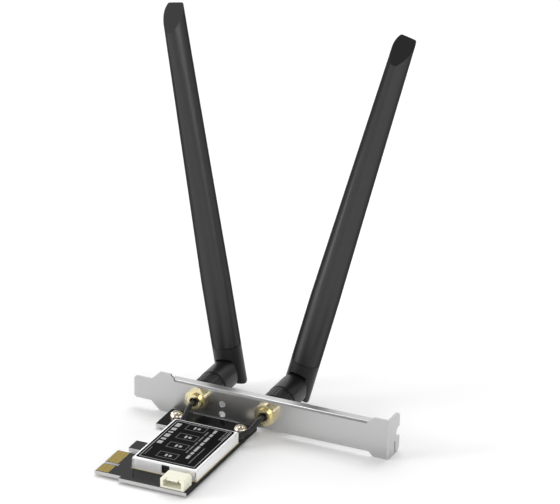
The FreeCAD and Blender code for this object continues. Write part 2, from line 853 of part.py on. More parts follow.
def make_washer(place):
    """A split spring washer against the bracket's outer face."""
    x, z = along(place), jack_z
    ring = tube((x, 0, z), (x, washer_thickness, z), washer_radius,
                jack_thread_radius + 2 * thread_clearance)
    gap = prism([(x - 0.1, -1, z), (x + 0.4, -1, z), (x + 1.0, -1, z + 6), (x + 0.5, -1, z + 6)],
                (0, 3, 0))
    return ring.cut(gap)


def make_nut(place):
    x, z = along(place), jack_z
    y0 = washer_thickness
    nut = hexagon((x, y0, z), (x, y0 + nut_thickness, z), nut_width)
    nut = nut.common(rod((x, y0, z), (x, y0 + nut_thickness, z), nut_width / 2 + 0.4))
    return nut.cut(rod((x, y0 - 1, z), (x, y0 + nut_thickness + 1, z),
                       jack_thread_radius + thread_clearance))


def lead_routes():
    """Points of each lead, from inside the jack to its plug on the module."""
    z = jack_z
    start = out(-jack_hex_depth)
    rear = shield_box()[3]
    entry_z = board_top + 1.9
    plug_z = module_top + lead_lift
    left, right = along(jack_places["left"]), along(jack_places["right"])
    (lx, ly), (rx, ry) = receptacle_points()["left"], receptacle_points()["right"]
    return {
        "left": [
            (left, start, z), (left, start - 4.6, z), (left - 0.1, start - 10.4, z - 3.2),
            (left - 0.1, rear + 1.2, entry_z), (left - 0.1, rear - 1.6, entry_z),
            (lx - 4.2, ly + 3.2, plug_z), (lx, ly, plug_z),
        ],
        "right": [
            (right, start, z), (right, start - 5.0, z), (right - 2.2, start - 9.0, z - 3.4),
            (right - 6.8, start - 12.0, board_top + 1.6),
            (rx + 2.6, rear - 0.6, entry_z), (rx + 1.8, ry + 3.4, plug_z), (rx, ry, plug_z),
        ],
    }


def lead_solid(points, radius, bend):
    """A round lead along straight runs joined by tangent arcs."""
    pts = [V(*p) for p in points]
    pieces = []
    start = pts[0]
    for before, point, after in zip(pts, pts[1:], pts[2:]):
        d0 = (point - before).normalize()
        d1 = (after - point).normalize()
        turn = d0.getAngle(d1)
        if turn < 1e-4:
            continue
        room = 0.45 * min((point - before).Length, (after - point).Length)
        arc_radius = min(bend, room / math.tan(turn / 2))
        reach = arc_radius * math.tan(turn / 2)
        first = point - d0 * reach
        pieces.append(Part.makeCylinder(radius, (first - start).Length, start, d0))
        axis = d0.cross(d1).normalize()
        centre = first + axis.cross(d0).normalize() * arc_radius
        face = Part.Face(Part.Wire(Part.Circle(first, d0, radius).toShape()))
        pieces.append(face.revolve(centre, axis, math.degrees(turn)))
        start = point + d1 * reach
    last = (pts[-1] - pts[-2]).normalize()
    pieces.append(Part.makeCylinder(radius, (pts[-1] - start).Length, start, last))
    return fuse_all(pieces)


def make_lead(side):
    """The thin coaxial lead, ending inside its plug."""
    points = lead_routes()[side]
    last, before = V(*points[-1]), V(*points[-2])
    way = (before - last).normalize()
    end = last + way * plug_radius * 0.6
    return lead_solid(points[:-1] + [(end.x, end.y, end.z)], lead_radius, lead_bend)


def make_sleeve(side):
    """The shrunk sleeve over the lead where it leaves the jack."""
    points = lead_routes()[side][:4]
    before, last = V(*points[2]), V(*points[3])
    end = before + (last - before) * (0.62 if side == "left" else 0.86)
    points = points[:3] + [(end.x, end.y, end.z)]
    outside = lead_solid(points, sleeve_radius, lead_bend)
    return outside.cut(lead_solid(points, lead_radius, lead_bend))


def make_collar():
    """The fluted sleeve that turns the coupling nut, along Y from the inner face."""
    y0, y1 = collar_start, collar_end
    c = collar_chamfer
    profile = [(coupling_radius, y0), (collar_radius - c, y0), (collar_radius, y0 + c),
               (collar_radius, y1 - c), (collar_radius - c, y1), (coupling_radius, y1)]
    collar = revolve_about_y(profile)
    flutes = []
    for index in range(collar_flutes):
        angle = 2 * math.pi * index / collar_flutes
        reach = collar_radius + flute_radius * 0.35
        x, z = reach * math.cos(angle), reach * math.sin(angle)
        flutes.append(rod((x, y0 + 1.0, z), (x, y1 - 1.0, z), flute_radius))
    return cut_all(collar, flutes)


def revolve_about_y(profile):
    """Turns a closed outline of (radius, y) points about the Y axis."""
    corners = [V(r, y, 0) for r, y in profile]
    face = Part.Face(Part.makePolygon(corners + corners[:1]))
    return face.revolve(V(0, 0, 0), V(0, 1, 0), 360)


def make_coupling():
    """The nut that runs on the jack and holds the ferrule by its flange."""
    bore = jack_thread_radius + coupling_clearance
    lip_start = coupling_end - coupling_lip
    lip_bore = ferrule_radius + coupling_clearance
    front = collar_start + 0.3
    return revolve_about_y([
        (bore, front), (coupling_radius, front), (coupling_radius, coupling_end),
        (lip_bore, coupling_end), (lip_bore, lip_start), (bore, lip_start),
    ])


def make_ferrule():
    """The brass tube that carries the barrel, flanged inside the coupling nut."""
    flange_end = coupling_end - coupling_lip - coupling_clearance
    flange_start = flange_end - ferrule_flange_depth
    return revolve_about_y([
        (insulator_radius, flange_start), (ferrule_flange_radius, flange_start),
        (ferrule_flange_radius, flange_end), (ferrule_radius, flange_end),
        (ferrule_radius, ferrule_end), (insulator_radius, ferrule_end),
    ])


def make_plug_insulator():
    start = jack_reach - jack_bore_depth + part_clearance
    return revolve_about_y([
        (contact_radius, start), (insulator_radius, start),
        (insulator_radius, ferrule_end), (contact_radius, ferrule_end),
    ])


def make_plug_contact():
    """The socket that takes the jack's centre pin."""
    start = jack_reach - jack_bore_depth + part_clearance
    depth = jack_pin_reach + 1.0
    return revolve_about_y([
        (contact_bore, start), (contact_radius, start), (contact_radius, ferrule_end),
        (0, ferrule_end), (0, depth), (contact_bore, depth),
    ])


def make_barrel():
    """The swivelling barrel; its ball-ended tongue fits the blade's fork."""
    pivot = antenna_pivot
    r = barrel_radius
    body = rod((0, barrel_start, 0), (0, pivot, 0), r)
    front = [e for e in body.Edges if all(abs(v.Point.y - barrel_start) < 1e-6 for v in e.Vertexes)]
    body = body.makeChamfer(barrel_chamfer, front)
    body = body.fuse(Part.makeSphere(r, V(0, pivot, 0)))
    neck = rod((0, barrel_neck_start, 0), (0, barrel_start, 0), barrel_neck_radius)
    body = body.fuse(neck).removeSplitter()
    shoulder = blade_radius + hinge_gap + 0.05
    side = rod((-20, pivot, 0), (20, pivot, 0), shoulder)
    side = side.fuse(box(-20, pivot, -shoulder, 20, pivot + 20, shoulder))
    arm_front = math.sqrt(blade_radius ** 2 - (tongue_half + hinge_gap) ** 2)
    side = side.fuse(box(-20, pivot - arm_front - hinge_gap, 0, 20, pivot + 20, 20))
    side = side.cut(box(-tongue_half, 0, -20, tongue_half, pivot + 30, 20))
    pin = rod((-20, pivot, 0), (20, pivot, 0), hinge_pin_radius + hinge_pin_clearance)
    bore = rod((0, barrel_neck_start - 1, 0), (0, ferrule_end, 0), ferrule_radius)
    hollow = rod((0, ferrule_end, 0), (0, pivot - barrel_hollow_cover, 0), barrel_hollow_radius)
    return cut_all(body, [side, pin, bore, hollow])


def section_points(share, inset):
    """Corner and mid points of the blade's section: share 0 is round, 1 is the top's form."""
    half_depth = blade_top_depth / 2
    top = [
        (-blade_ridge_half, -half_depth), (0, -half_depth - 0.04),
        (blade_ridge_half, -half_depth), (blade_top_half * 0.735, -half_depth * 0.46),
        (blade_top_half, half_depth * 0.21), (blade_top_half * 0.99, half_depth * 0.6),
        (blade_top_half * 0.87, half_depth * 0.875), (blade_top_half * 0.76, half_depth * 0.97),
        (blade_top_half * 0.58, half_depth), (0, half_depth + 0.04),
    ]
    mirror = [(-w, v) for w, v in reversed(top[3:9])]
    top = top + mirror
    angles = [-14, 0, 14, 57, 100, 120, 139, 146, 153, 180, 207, 214, 221, 240, 260, 303]
    radius = blade_radius - inset
    ring = [(radius * math.sin(math.radians(a)), -radius * math.cos(math.radians(a)))
            for a in angles]
    shrink_w = (blade_top_half - inset) / blade_top_half
    shrink_v = (half_depth - inset) / half_depth
    points = []
    for (tw, tv), (rw, rv) in zip(top, ring):
        points.append((rw + (tw * shrink_w - rw) * share, rv + (tv * shrink_v - rv) * share))
    return points


def section_wire(share, inset, height):
    points = [V(w, v, height) for w, v in section_points(share, inset)]
    edges = []
    for index in range(0, len(points), 2):
        after = points[(index + 2) % len(points)]
        edges.append(Part.Arc(points[index], points[index + 1], after).toShape())
    return Part.Wire(edges)


def blade_solid(inset, bottom):
    """A round foot that fades into the ridged upper blade."""
    radius = blade_radius - inset
    foot = rod((0, 0, bottom), (0, 0, round_length), radius)
    upper = Part.makeLoft(
        [section_wire(0, inset, round_length), section_wire(1, inset, blade_length)], True, True)
    return foot.fuse(upper)


def make_radome():
    """The hollow blade, cut off at a slant at the top and open at the bottom."""
    outside = blade_solid(0, knuckle_top)
    inside = blade_solid(blade_wall, knuckle_top - 1)
    half_depth = blade_top_depth / 2
    for shape, drop in (("outside", 0), ("inside", blade_wall * math.sqrt(2))):
        front = blade_length - blade_top_depth - drop
        y0, y1 = -half_depth - 4, half_depth + 4
        wedge = prism([(-20, y0, front - 4), (-20, y1, blade_length - drop + 4),
                       (-20, y1, blade_length + 20), (-20, y0, blade_length + 20)], (40, 0, 0))
        if shape == "outside":
            outside = outside.cut(wedge)
        else:
            inside = inside.cut(wedge)
    cap = box(-20, -20, blade_length - blade_wall, 20, 20, blade_length + 5)
    return cut_all(outside, [inside.cut(cap), seam_ring(1)])


def make_knuckle():
    """The fork at the blade's foot, with a spigot for the hollow blade."""
    r = blade_radius
    body = rod((0, 0, -r - 1), (0, 0, knuckle_top), r)
    keep = rod((-20, 0, 0), (20, 0, 0), r).fuse(box(-20, -20, 0, 20, 20, knuckle_top))
    body = body.common(keep)
    spigot = rod((0, 0, knuckle_top - 1), (0, 0, knuckle_top + spigot_length),
                 r - blade_wall - spigot_clearance)
    body = body.fuse(spigot).removeSplitter()
    reach = barrel_radius + fork_gap
    half = tongue_half + hinge_gap
    strip = box(-half, -20, -20, half, 20, 20)
    slot = fuse_all([
        rod((0, -20, 0), (0, 0, 0), reach),
        rod((0, 0, -20), (0, 0, 0), reach),
        Part.makeSphere(reach, V(0, 0, 0)),
        box(-half, -20, -20, half, 20, 0),
        box(-half, 0, -1, half, 20, knuckle_back_open),
    ]).common(strip)
    pin_half = blade_radius - hinge_pin_cover
    pin = rod((-pin_half, 0, 0), (pin_half, 0, 0), hinge_pin_radius)
    wire = rod((0, 0, 0), (0, 0, knuckle_top + spigot_length + 1), wire_radius)
    seat = knuckle_top + spigot_length - strip_seat
    strip = strip_box(seat, strip_end, strip_thickness, 0)
    return cut_all(body, [slot, pin, wire, strip, seam_ring(-1)])


def seam_ring(way):
    """What the chamfer takes away under the seam (-1) or over it (1)."""
    g = seam_groove
    low, high = sorted((knuckle_top, knuckle_top + way * g))
    cone = (blade_radius, blade_radius - g) if way < 0 else (blade_radius - g, blade_radius)
    return rod((0, 0, low), (0, 0, high), blade_radius + 1).cut(Part.makeCone(*cone, g, V(0, 0, low)))


def make_hinge_pin():
    pin_half = blade_radius - hinge_pin_cover
    return rod((-pin_half, 0, 0), (pin_half, 0, 0), hinge_pin_radius)


def strip_box(start, end, thickness, drop):
    """A flat piece of the printed aerial, lying behind the coaxial wire."""
    front = wire_radius + trace_thickness - drop
    width = strip_width if drop == 0 else trace_width
    return box(-width / 2, front, start, width / 2, front + thickness, end)


def make_aerial():
    """Coaxial wire inside the blade, the strip it is soldered to, and its two traces."""
    reach = barrel_radius + fork_gap
    wire = rod((0, 0, reach + 0.4), (0, 0, trace_spans[0][1]), wire_radius)
    seat = knuckle_top + spigot_length - strip_seat
    strip = strip_box(seat, strip_end, strip_thickness, 0)
    traces = [strip_box(a, b, trace_thickness, trace_thickness) for a, b in trace_spans]
    return wire, strip, Part.makeCompound(traces)


def place_antenna(shape, side, part):
    """Moves an antenna piece from its own axes to its place on the card."""
    shape = shape.copy()
    x = along(jack_places[side])
    if part == "blade":
        shape.rotate(V(0, 0, 0), V(1, 0, 0), -antenna_tilt_back[side])
        shape.rotate(V(0, 0, 0), V(0, 1, 0), antenna_lean[side])
        shape.translate(V(x, out(antenna_pivot), jack_z))
        return shape
    if part == "barrel":
        shape.rotate(V(0, 0, 0), V(0, 1, 0), antenna_lean[side])
    shape.translate(V(x, inner_y, jack_z))
    return shape


def build():
    capacitors, coil, regulator = make_small_parts()
    parts = {
        "bracket": make_bracket(),
        "circuit_board": make_board(),
        "edge_contacts": make_contacts(),
        "board_screws": make_board_screws(),
        "shield_cover": make_shield(),
        "shield_fence": make_fence(),
        "shield_land": make_ring(),
        "shield_label": make_label(),
        "module_socket": make_socket(),
        "socket_contacts": make_socket_contacts(),
        "module_board": make_module_board(),
        "module_shield": make_module_shield(),
        "thermal_pad": make_thermal_pad(),
        "module_standoff": make_standoff(),
        "module_screw": make_module_screw(),
        "module_receptacles": make_receptacles(),
        "lead_plugs": make_lead_plugs(),
        "board_capacitors": capacitors,
        "supply_coil": coil,
        "regulator_chip": regulator,
        "header_housing": make_header(),
        "header_pins": make_header_pins(),
    }
    insulators, pins, washers, nuts = [], [], [], []
    for side, place in jack_places.items():
        parts[side + "_jack"] = make_jack(place)
        insulator, pin = make_jack_insides(place)
        insulators.append(insulator)
        pins.append(pin)
        washers.append(make_washer(place))
        nuts.append(make_nut(place))
        parts[side + "_lead"] = make_lead(side)
        parts[side + "_lead_sleeve"] = make_sleeve(side)
    parts["jack_insulators"] = Part.makeCompound(insulators)
    parts["jack_pins"] = Part.makeCompound(pins)
    parts["jack_washers"] = Part.makeCompound(washers)
    parts["jack_nuts"] = Part.makeCompound(nuts)
    wire, strip, traces = make_aerial()
    antenna = [
        ("collar", make_collar(), "collar"),
        ("coupling_nut", make_coupling(), "collar"),
        ("ferrule", make_ferrule(), "barrel"),
        ("plug_insulator", make_plug_insulator(), "barrel"),
        ("plug_contact", make_plug_contact(), "barrel"),
        ("barrel", make_barrel(), "barrel"),
        ("hinge_pin", make_hinge_pin(), "blade"),
        ("knuckle", make_knuckle(), "blade"),
        ("radome", make_radome(), "blade"),
        ("aerial_wire", wire, "blade"),
        ("aerial_strip", strip, "blade"),
        ("aerial_traces", traces, "blade"),
    ]
    for side in jack_places:
        for name, shape, part in antenna:
            parts[side + "_" + name] = place_antenna(shape, side, part)
    return parts


os.makedirs("parts", exist_ok=True)
for name, shape in build().items():
    if not shape.isValid():
        raise ValueError(name + " is not a valid shape")
    print(name, len(shape.Solids), round(shape.Volume, 2))
    shape.exportStep(os.path.join("parts", name + ".step"))
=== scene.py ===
"""Looks of a wireless network card with two tilting antennas, in metres, in the card's frame."""

import json
import math

import bpy
from mathutils import Matrix, Vector


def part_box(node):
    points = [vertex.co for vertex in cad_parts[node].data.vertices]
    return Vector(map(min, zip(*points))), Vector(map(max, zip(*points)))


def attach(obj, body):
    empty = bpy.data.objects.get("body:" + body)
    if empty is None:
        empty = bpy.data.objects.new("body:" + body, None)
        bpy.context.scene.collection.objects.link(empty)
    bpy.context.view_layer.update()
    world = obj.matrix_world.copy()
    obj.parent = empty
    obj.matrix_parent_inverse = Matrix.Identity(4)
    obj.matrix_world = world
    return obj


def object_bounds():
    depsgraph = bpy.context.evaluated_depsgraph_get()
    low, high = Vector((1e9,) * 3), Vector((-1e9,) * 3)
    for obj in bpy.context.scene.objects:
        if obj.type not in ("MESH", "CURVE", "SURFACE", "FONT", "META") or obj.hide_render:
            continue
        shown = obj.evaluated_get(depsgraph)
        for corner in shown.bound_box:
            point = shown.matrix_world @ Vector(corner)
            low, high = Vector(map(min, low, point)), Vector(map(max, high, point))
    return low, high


MM = 0.001

# Camera: where it stands, the way it looks and its lens
CAMERA_PLACE = Vector((721.4, -1572.4, 846.4)) * MM
CAMERA_AZIMUTH = math.radians(24.41)
CAMERA_ELEVATION = math.radians(24.03)
CAMERA_ROLL = math.radians(0.88)
CAMERA_LENS = 289.3
SENSOR_WIDTH = 36.0
CAMERA_REACH = 50.0

# Floor, with a little light of its own for the rays that see it
FLOOR_SIZE = 6.0
FLOOR_DROP = 0.02 * MM
FLOOR_WHITE = (0.93, 0.93, 0.93)
FLOOR_LIFT = 0.04

# Lamps: azimuth and elevation in degrees, width, height, power
LAMPS = {
    "left_light": (214, 14, 0.45, 0.55, 9.0),
    "front_light": (302, 22, 0.45, 0.55, 4.0),
    "right_light": (0, 16, 0.45, 0.55, 4.5),
    "back_light": (98, 62, 1.00, 0.70, 7.5),
}
LAMP_DISTANCE = 1.35
LAMP_TARGET = Vector((0.0, 0.0, 0.05))

# Glows of the surroundings: azimuth and elevation in degrees, cosine at the rim, level
BACK_GLOW = (110, 25, 0.55, 0.85)
LEFT_GLOW = (180, 25, 0.60, 0.90)
BACKDROP_GLOW = (110, 8, 0.72, 1.0)
AMBIENT_LEVEL = 0.24
BACKDROP_LEVEL = 0.97

# Surfaces: "rough" is the lowest and the highest roughness
METALS = {
    "bracket_nickel": {"base": (0.54, 0.54, 0.54), "rough": (0.29, 0.35),
                       "grain": 700.0, "stretch": (0.05, 1, 1)},
    "contact_gold": {"base": (0.40, 0.30, 0.075), "rough": (0.28, 0.38)},
    "screw_brass": {"base": (0.84, 0.76, 0.63), "rough": (0.26, 0.34)},
    "shield_tin": {"base": (0.92, 0.92, 0.92), "rough": (0.46, 0.56),
                   "grain": 500.0, "metallic": 0.6},
    "pin_tin": {"base": (0.80, 0.78, 0.74), "rough": (0.22, 0.30)},
    "jack_gold": {"base": (0.90, 0.80, 0.50), "rough": (0.20, 0.28)},
    "pin_steel": {"base": (0.62, 0.62, 0.62), "rough": (0.24, 0.32)},
    "copper": {"base": (0.80, 0.42, 0.26), "rough": (0.24, 0.32)},
}
PLASTICS = {
    "socket_black": {"base": (0.02, 0.02, 0.02), "rough": (0.45, 0.55)},
    "pad_grey": {"base": (0.20, 0.24, 0.32), "rough": (0.70, 0.80)},
    "chip_black": {"base": (0.02, 0.02, 0.022), "rough": (0.45, 0.55)},
    "chip_tan": {"base": (0.30, 0.20, 0.11), "rough": (0.35, 0.45)},
    "header_cream": {"base": (0.86, 0.84, 0.70), "rough": (0.38, 0.48), "bump": 0.05},
    "insulator_white": {"base": (0.80, 0.79, 0.75), "rough": (0.40, 0.50)},
    "sleeve_black": {"base": (0.010, 0.010, 0.010), "rough": (0.36, 0.46), "specular": 0.4},
    "elbow_black": {"base": (0.010, 0.010, 0.011), "rough": (0.30, 0.40), "specular": 0.35},
    "knuckle_black": {"base": (0.018, 0.018, 0.019), "rough": (0.36, 0.44), "specular": 0.24},
    "module_green": {"base": (0.01, 0.09, 0.04), "rough": (0.18, 0.26),
                     "grain": 1500.0, "bump": 0.03},
    "lead_black": {"base": (0.012, 0.012, 0.012), "rough": (0.28, 0.36),
                   "grain": 3000.0, "bump": 0.04},
    "wire_brown": {"base": (0.16, 0.08, 0.04), "rough": (0.30, 0.40),
                   "grain": 3000.0, "bump": 0.04},
    "label_black": {"base": (0.003, 0.003, 0.004), "rough": (0.42, 0.50),
                    "grain": 4000.0, "bump": 0.03, "specular": 0.02},
    "label_ink": {"base": (0.38, 0.38, 0.38), "rough": (0.35, 0.45),
                  "grain": 4000.0, "bump": 0.03},
    "label_faint_ink": {"base": (0.12, 0.12, 0.12), "rough": (0.35, 0.45),
                        "grain": 4000.0, "bump": 0.03},
    # reflects as a dark metal with dark edges does, so that its edges don't turn pale
    "antenna_black": {"base": (0.060, 0.060, 0.061), "rough": (0.34, 0.40),
                      "metallic": 1.0, "edge": 0.35},
}
# the card's mask, whose black is also painted on the right cut edges as shade, and the laminate
# under it, where the mask ends
BOARD_MASK_AND_EDGE_SHADE = (0.010, 0.010, 0.011)
BOARD_MASK_ROUGH = 0.12
BOARD_MASK_SPECULAR = 0.13
BOARD_LAMINATE = (0.52, 0.52, 0.51)
BOARD_LAMINATE_ROUGH = 0.6
# nodes with a darker black than the other pieces of their slot
DARKER_NODES = {"collar": "elbow_black", "barrel": "elbow_black", "knuckle": "knuckle_black"}
NOISE_DETAIL = 3.0
BUMP_DEPTH = 0.02 * MM

# Edges: where shading breaks, and the small rounds on some nodes
SHARP_ANGLE = math.radians(28)
ROUND_ANGLE = math.radians(40)
EDGE_ROUNDS = {
    "bracket": 0.09 * MM,
    "header_housing": 0.10 * MM,
    "circuit_board": 0.05 * MM,
    "board_screws": 0.05 * MM,
}

# Label print, in mm from the corner of its border
LABEL_INSET = 1.0 * MM
PRINT_SINK = 0.02 * MM
PRINT_RISE = 0.015 * MM
BORDER_WIDTH = 0.28
BOX_PLACES = (2.8, 12.6, 21.8, 30.8)
BOX_START, BOX_END = 6.3, 15.3
BOX_DEPTH = 5.2
BOX_LINE = 0.26
# marks in each box: start and end from the box's start, and half their depth
BOX_MARKS = ((3.4, 4.3, 1.1), (5.1, 6.4, 0.8))
# rows of bars: x of both sides, y of the first, lengths along y, gap
LIGHT_BARS = (
    (1.2, 3.4, 14.2, (2.6, 1.6, 3.0, 1.2, 2.4, 3.4), 1.3),
    (18.6, 19.9, 6.2, (3.4, 2.2, 5.2, 3.0, 4.4, 2.6, 3.0), 0.9),
)
FAINT_BARS = (
    (1.3, 1.6, 2.6, (7.3,), 0),
    (16.4, 17.1, 11.0, (2.4, 4.2, 3.0, 5.0, 3.8), 0.8),
    (21.8, 22.2, 2.5, (15.4,), 0),
    (23.6, 24.1, 27.7, (3.2, 2.2, 2.6), 0.5),
    (24.8, 25.3, 27.7, (4.2, 3.4), 0.5),
)

# Painted shade: a dark flat ring in the hollow behind each antenna connector, round its lead, for
# the shade in that hollow
SHADE_RING_INNER, SHADE_RING_OUTER = 1.25 * MM, 2.05 * MM
SHADE_RING_START, SHADE_RING_END = 1.05 * MM, 1.27 * MM
SHADE_RING_SIDES = 48


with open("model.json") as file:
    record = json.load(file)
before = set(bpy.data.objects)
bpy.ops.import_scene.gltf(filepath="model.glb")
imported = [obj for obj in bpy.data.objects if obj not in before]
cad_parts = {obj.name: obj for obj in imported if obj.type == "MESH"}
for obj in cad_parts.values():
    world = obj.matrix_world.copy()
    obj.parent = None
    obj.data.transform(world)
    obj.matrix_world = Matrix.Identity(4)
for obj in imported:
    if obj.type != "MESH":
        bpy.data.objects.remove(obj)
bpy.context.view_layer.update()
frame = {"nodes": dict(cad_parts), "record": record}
nodes = frame["nodes"]
slots = {s["node"]: s["material_slot"] for s in frame["record"]["subparts"]}


def new_material(name, base, metallic=0.0, roughness=0.5, specular=0.5):
    """A Principled material, its tree and its shader node."""
    material = bpy.data.materials.new(name)
    material.use_nodes = True
    tree = material.node_tree
    shader = tree.nodes["Principled BSDF"]
    shader.inputs["Base Color"].default_value = (*base, 1.0)
    shader.inputs["Metallic"].default_value = metallic
    shader.inputs["Roughness"].default_value = roughness
    shader.inputs["Specular IOR Level"].default_value = specular
    return material, tree, shader


def math_node(tree, operation, *values):
    """One sum, product or test of numbers and sockets, as a socket."""
    node = tree.nodes.new("ShaderNodeMath")
    node.operation = operation
    for socket, value in zip(node.inputs, values):
        if isinstance(value, float):
            socket.default_value = value
        else:
            tree.links.new(value, socket)
    return node.outputs["Value"]


def noise(tree, scale, stretch=(1.0, 1.0, 1.0)):
    """Noise in object space, stretched along the axes."""
    place = tree.nodes.new("ShaderNodeTexCoord")
    mapping = tree.nodes.new("ShaderNodeMapping")
    mapping.inputs["Scale"].default_value = stretch
    texture = tree.nodes.new("ShaderNodeTexNoise")
    texture.inputs["Scale"].default_value = scale
    texture.inputs["Detail"].default_value = NOISE_DETAIL
    tree.links.new(place.outputs["Object"], mapping.inputs["Vector"])
    tree.links.new(mapping.outputs["Vector"], texture.inputs["Vector"])
    return texture.outputs["Fac"]


def vary_roughness(tree, shader, value, low, high):
    """Roughness from low, where the value is 0, to high, where it is 1."""
    ramp = tree.nodes.new("ShaderNodeMapRange")
    ramp.inputs["To Min"].default_value = low
    ramp.inputs["To Max"].default_value = high
    tree.links.new(value, ramp.inputs["Value"])
    tree.links.new(ramp.outputs["Result"], shader.inputs["Roughness"])


def add_bump(tree, shader, height, strength):
    bump = tree.nodes.new("ShaderNodeBump")
    bump.inputs["Strength"].default_value = strength
    bump.inputs["Distance"].default_value = BUMP_DEPTH
    tree.links.new(height, bump.inputs["Height"])
    tree.links.new(bump.outputs["Normal"], shader.inputs["Normal"])


def metal(name, base, rough, grain=900.0, stretch=(1.0, 1.0, 1.0), metallic=1.0):
    """Plated or bare metal, a little smoother in some places than in others."""
    material, tree, shader = new_material(name, base, metallic=metallic)
    vary_roughness(tree, shader, noise(tree, grain, stretch), *rough)
    return material


def plastic(name, base, rough, grain=2600.0, bump=0.12, specular=0.5, metallic=0.0, edge=1.0):
    """Moulded plastic, rubber, lacquer or ink with a fine grain."""
    material, tree, shader = new_material(name, base, metallic=metallic, specular=specular)
    texture = noise(tree, grain)
    vary_roughness(tree, shader, texture, *rough)
    add_bump(tree, shader, texture, bump)
    shader.inputs["Specular Tint"].default_value = (edge, edge, edge, 1.0)
    return material


def board_material():
    """Glossy black mask on the faces, the mask's black painted on the right cut edges as shade,
    pale laminate on the other cut edges.
    """
    material, tree, shader = new_material("board_black", BOARD_MASK_AND_EDGE_SHADE, specular=BOARD_MASK_SPECULAR)
    place = tree.nodes.new("ShaderNodeTexCoord")
    split = tree.nodes.new("ShaderNodeSeparateXYZ")
    tree.links.new(place.outputs["Normal"], split.inputs["Vector"])
    level = math_node(tree, "ABSOLUTE", split.outputs["Z"])
    face = math_node(tree, "GREATER_THAN", level, 0.5)
    # painted shade: the cut edges that face right take the mask's black, for the shade on that
    # side
    right = math_node(tree, "GREATER_THAN", split.outputs["X"], 0.5)
    colour = tree.nodes.new("ShaderNodeMix")
    colour.data_type = "RGBA"
    colour.inputs["A"].default_value = (*BOARD_LAMINATE, 1.0)
    colour.inputs["B"].default_value = (*BOARD_MASK_AND_EDGE_SHADE, 1.0)
    tree.links.new(math_node(tree, "MAXIMUM", right, face), colour.inputs["Factor"])
    tree.links.new(colour.outputs["Result"], shader.inputs["Base Color"])
    vary_roughness(tree, shader, face, BOARD_LAMINATE_ROUGH, BOARD_MASK_ROUGH)
    return material


def make_materials():
    """The materials of the record's slots, and the others that the pieces use."""
    made = {"board_black": board_material()}
    for name, values in METALS.items():
        made[name] = metal(name, **values)
    for name, values in PLASTICS.items():
        made[name] = plastic(name, **values)
    return made


def finish_node(name, obj):
    """Gives a frame node its material and smooth curved faces."""
    obj.data.materials.clear()
    obj.data.materials.append(materials[DARKER_NODES.get(name.split("_")[-1], slots[name])])
    for polygon in obj.data.polygons:
        polygon.use_smooth = True
    obj.data.set_sharp_from_angle(angle=SHARP_ANGLE)


def soften(name, width):
    """A small round on a node's sharp edges, as folded and moulded pieces have."""
    bevel = nodes[name].modifiers.new("edge_round", "BEVEL")
    bevel.width = width
    bevel.segments = 2
    bevel.limit_method = "ANGLE"
    bevel.angle_limit = ROUND_ANGLE
    bevel.harden_normals = True


def new_object(name, vertices, faces, material):
    """An object with one mesh and one material, in the scene."""
    mesh = bpy.data.meshes.new(name)
    mesh.from_pydata(vertices, [], faces)
    mesh.materials.append(material)
    obj = bpy.data.objects.new(name, mesh)
    bpy.context.scene.collection.objects.link(obj)
    return obj


def flat_pieces(name, rectangles, z, thickness, material):
    """Thin raised rectangles (x0, y0, x1, y1) as one piece of the card."""
    vertices, faces = [], []
    for x0, y0, x1, y1 in rectangles:
        n = len(vertices)
        vertices += [(x, y, h) for h in (z, z + thickness)
                     for x, y in ((x0, y0), (x1, y0), (x1, y1), (x0, y1))]
        faces += [(n, n + 3, n + 2, n + 1), (n + 4, n + 5, n + 6, n + 7)]
        faces += [(n + i, n + (i + 1) % 4, n + 4 + (i + 1) % 4, n + 4 + i) for i in range(4)]
    obj = new_object(name, vertices, faces, material)
    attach(obj, "card")
    return obj


def outline(x0, y0, x1, y1, width):
    """The four sides of a frame."""
    return [
        (x0, y0, x1, y0 + width), (x0, y1 - width, x1, y1),
        (x0, y0 + width, x0 + width, y1 - width), (x1 - width, y0 + width, x1, y1 - width),
    ]


def row_of_bars(x0, x1, y, lengths, gap):
    """Bars one after the other along +Y from y, as blank words in a line."""
    bars = []
    for length in lengths:
        bars.append((x0, y, x1, y + length))
        y += length + gap
    return bars


def make_label_print():
    """A light border and a generic layout of blank boxes and bars."""
    low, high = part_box("shield_label")
    left, front = low.x + LABEL_INSET, low.y + LABEL_INSET

    def placed(rectangles):
        return [(left + x0 * MM, front + y0 * MM, left + x1 * MM, front + y1 * MM)
                for x0, y0, x1, y1 in rectangles]

    width = (high.x - low.x - 2 * LABEL_INSET) / MM
    depth = (high.y - low.y - 2 * LABEL_INSET) / MM
    light = outline(0, 0, width, depth, BORDER_WIDTH)
    faint = []
    for y in BOX_PLACES:
        faint += outline(BOX_START, y, BOX_END, y + BOX_DEPTH, BOX_LINE)
        middle = y + BOX_DEPTH / 2
        light += [(BOX_START + start, middle - half, BOX_START + end, middle + half)
                  for start, end, half in BOX_MARKS]
    for row in LIGHT_BARS:
        light += row_of_bars(*row)
    for row in FAINT_BARS:
        faint += row_of_bars(*row)
    z = high.z - PRINT_SINK
    for name, marks, ink in (("label_print", light, "label_ink"),
                             ("label_faint_print", faint, "label_faint_ink")):
        obj = flat_pieces(name, placed(marks), z, PRINT_SINK + PRINT_RISE, materials[ink])


